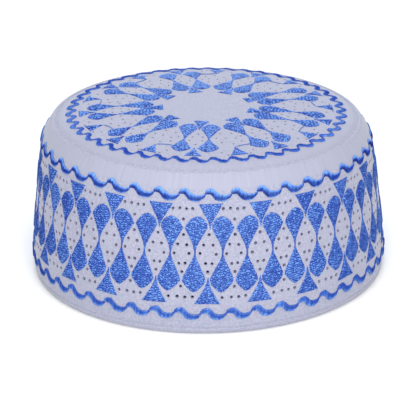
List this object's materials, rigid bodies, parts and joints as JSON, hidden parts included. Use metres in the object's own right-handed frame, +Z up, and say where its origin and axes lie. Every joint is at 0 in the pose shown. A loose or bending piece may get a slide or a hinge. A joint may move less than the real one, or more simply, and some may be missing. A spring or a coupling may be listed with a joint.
{
  "type": "prayer cap",
  "caption": "Round stiffened prayer cap: a slightly tapering embroidered side band with a folded hem and a gently domed round crown sewn in at a raised seam.",
  "frame": {"origin": "middle of the hem's underside, on the surface that the cap rests on", "axes": "+Z up through the crown, -Y towards the front of the picture's view, +X to its right"},
  "size_m": [0.1884, 0.1884, 0.0881],
  "materials": {
    "white_cloth": "matt, stiffened",
    "white_thread": "soft sheen",
    "blue_thread": "silky sheen"
  },
  "bodies": {
    "root": {"side_band": "white_cloth", "crown": "white_cloth"}
  },
  "joints": []
}
